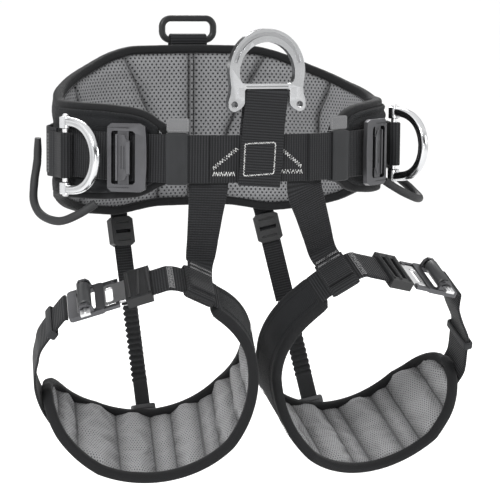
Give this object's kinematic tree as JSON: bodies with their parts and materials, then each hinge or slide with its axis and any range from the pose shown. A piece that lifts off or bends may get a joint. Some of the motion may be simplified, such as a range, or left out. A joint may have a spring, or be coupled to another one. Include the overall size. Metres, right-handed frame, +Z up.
{
  "type": "tree climbing saddle",
  "caption": "Padded waist belt with a front attachment ring, folding side rings, gear loops and padded leg loops, which seats and holds a worker on a rope in a tree.",
  "frame": {"origin": "middle of the waist, at the mid-height of the belt webbing", "axes": "-Y is the way the wearer faces, +Z is up, +X is the wearer's left"},
  "size_m": [0.4518, 0.2311, 0.4585],
  "materials": {
    "belt_mesh": "grey spacer mesh with rows of small dark holes",
    "black_fabric": "matte black woven cover",
    "binding_tape": "matte black folded tape",
    "belt_webbing": "black close-woven webbing",
    "strap_webbing": "black ribbed webbing",
    "elastic": "black woven elastic",
    "grey_tab": "grey felt-like tab",
    "anodised_buckle": "dark grey anodised",
    "polished_ring": "polished",
    "black_plastic": "black moulded",
    "grey_plastic": "grey moulded",
    "leg_padding": "grey padded knit"
  },
  "bodies": {
    "belt": {"belt_liner": "belt_mesh", "belt_shell": "black_fabric", "wing_pad_left": "black_fabric", "wing_pad_right": "black_fabric", "leg_shell_left": "black_fabric", "leg_shell_right": "black_fabric", "belt_binding": "binding_tape", "rear_webbing": "belt_webbing", "front_webbing": "belt_webbing", "side_webbing_left": "belt_webbing", "side_webbing_right": "belt_webbing", "side_ring_loop_left": "belt_webbing", "side_ring_loop_right": "belt_webbing", "centre_webbing": "belt_webbing", "rear_ring_tab": "belt_webbing", "leg_top_webbing_left": "strap_webbing", "leg_top_webbing_right": "strap_webbing", "leg_outer_webbing_left": "strap_webbing", "leg_outer_webbing_right": "strap_webbing", "front_leg_strap_left": "strap_webbing", "front_leg_strap_right": "strap_webbing", "strap_junction_left": "strap_webbing", "strap_junction_right": "strap_webbing", "riser_strap_left": "strap_webbing", "riser_strap_right": "strap_webbing", "belt_keeper_left": "elastic", "belt_keeper_right": "elastic", "leg_keeper_left": "elastic", "leg_keeper_right": "elastic", "elastic_riser_left": "elastic", "elastic_riser_right": "elastic", "keeper_tab_left": "grey_tab", "keeper_tab_right": "grey_tab", "waist_buckle_left": "anodised_buckle", "waist_buckle_right": "anodised_buckle", "front_ring_bar": "anodised_buckle", "leg_buckle_left": "anodised_buckle", "leg_buckle_right": "anodised_buckle", "side_ring_bar_left": "polished_ring", "side_ring_bar_right": "polished_ring", "gear_loop_left": "black_plastic", "gear_loop_right": "black_plastic", "riser_clip_left": "grey_plastic", "riser_clip_right": "grey_plastic", "leg_pad_left": "leg_padding", "leg_pad_right": "leg_padding"},
    "front_ring": {"front_ring": "polished_ring"},
    "rear_ring": {"rear_ring": "black_plastic"},
    "side_ring_left": {"side_ring_left": "polished_ring"},
    "side_ring_right": {"side_ring_right": "polished_ring"},
    "buckle_bar_left": {"waist_buckle_bar_left": "anodised_buckle"},
    "buckle_bar_right": {"waist_buckle_bar_right": "anodised_buckle"},
    "leg_lever_left": {"leg_buckle_lever_left": "black_plastic"},
    "leg_lever_right": {"leg_buckle_lever_right": "black_plastic"},
    "leg_tongue_left": {"leg_tongue_left": "polished_ring", "leg_adjuster_left": "black_plastic"},
    "leg_tongue_right": {"leg_tongue_right": "polished_ring", "leg_adjuster_right": "black_plastic"},
    "riser_slider_left": {"riser_adjuster_left": "black_plastic"},
    "riser_slider_right": {"riser_adjuster_right": "black_plastic"}
  },
  "joints": [
    {"name": "front_ring_swing", "type": "hinge", "parent": "belt", "child": "front_ring", "pos_m": [0.00454, -0.1195, 0.0565], "axis": [1, 0, 0], "range_deg": [-15, 95]},
    {"name": "rear_ring_fold", "type": "hinge", "parent": "belt", "child": "rear_ring", "pos_m": [0, 0.10015, 0.1005], "axis": [1, 0, 0], "range_deg": [-105, 15]},
    {"name": "side_ring_right_swing", "type": "hinge", "parent": "belt", "child": "side_ring_right", "pos_m": [-0.16861, -0.04406, -0.00337], "axis": [0, 0, 1], "range_deg": [-110, 0]},
    {"name": "side_ring_left_swing", "type": "hinge", "parent": "belt", "child": "side_ring_left", "pos_m": [0.16861, -0.04406, 0.00163], "axis": [0, 0, 1], "range_deg": [-36, 80]},
    {"name": "buckle_bar_left_slide", "type": "slide", "parent": "belt", "child": "buckle_bar_left", "axis": [-0.8005, -0.5993, 0], "range_m": [-0.003, 0.004]},
    {"name": "buckle_bar_right_slide", "type": "slide", "parent": "belt", "child": "buckle_bar_right", "axis": [0.838, -0.5456, 0], "range_m": [-0.003, 0.004]},
    {"name": "leg_lever_left_turn", "type": "hinge", "parent": "belt", "child": "leg_lever_left", "pos_m": [0.20039, -0.08358, -0.12547], "axis": [-0.063, 0.879, 0.4726], "range_deg": [0, 25], "stiffness_Nm_per_rad": 0.05},
    {"name": "leg_lever_right_turn", "type": "hinge", "parent": "belt", "child": "leg_lever_right", "pos_m": [-0.15773, -0.06977, -0.13476], "axis": [-0.1957, -0.8756, -0.4415], "range_deg": [0, 25], "stiffness_Nm_per_rad": 0.05},
    {"name": "leg_tongue_left_slide", "type": "slide", "parent": "belt", "child": "leg_tongue_left", "axis": [0.9545, 0.1914, -0.2288], "range_m": [-0.012, 0]},
    {"name": "leg_tongue_right_slide", "type": "slide", "parent": "belt", "child": "leg_tongue_right", "axis": [-0.8867, 0.3503, -0.3017], "range_m": [-0.012, 0]},
    {"name": "riser_slider_left_slide", "type": "slide", "parent": "belt", "child": "riser_slider_left", "axis": [0.2126, -0.1312, -0.9683], "range_m": [0, 0.04]},
    {"name": "riser_slider_right_slide", "type": "slide", "parent": "belt", "child": "riser_slider_right", "axis": [0.0722, -0.1989, -0.9773], "range_m": [0, 0.04]}
  ]
}
